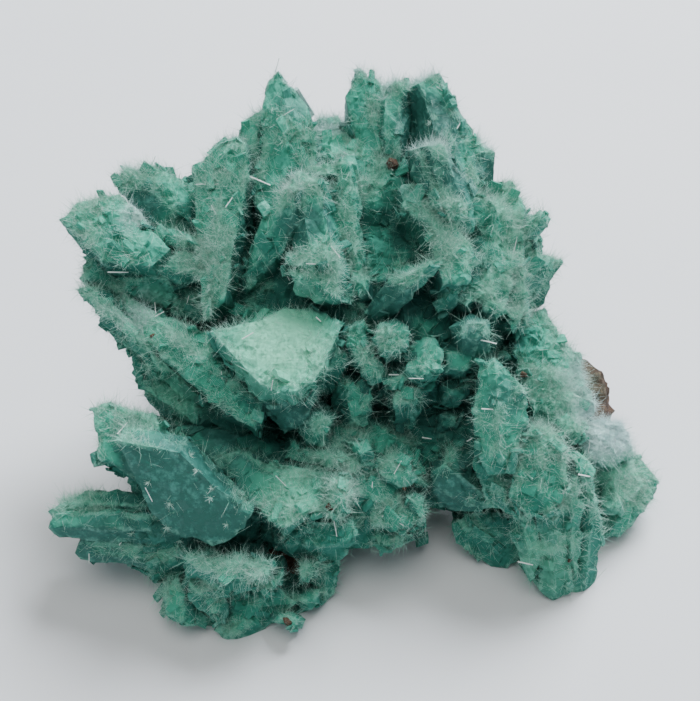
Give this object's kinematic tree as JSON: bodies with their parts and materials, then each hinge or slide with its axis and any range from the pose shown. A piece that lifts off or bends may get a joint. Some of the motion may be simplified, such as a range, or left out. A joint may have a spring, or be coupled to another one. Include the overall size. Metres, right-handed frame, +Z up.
{
  "type": "kobyashevite mineral specimen",
  "caption": "Fan-shaped cluster of rough, needle-coated green bladed crystals on a brown broken rock matrix, resting on its matrix and front feet.",
  "frame": {"origin": "middle of the bounding box of the whole specimen, on the plane that it rests on", "axes": "+X to the right and +Y away as the specimen is seen from its show side, +Z up"},
  "size_m": [0.0976, 0.077, 0.0598],
  "materials": {
    "green_crystal": "velvety, with fine pale needles; some bare faces satin",
    "brown_matrix": "rough broken rock"
  },
  "bodies": {
    "root": {"crystal_cluster": "green_crystal", "matrix": "brown_matrix"}
  },
  "joints": []
}
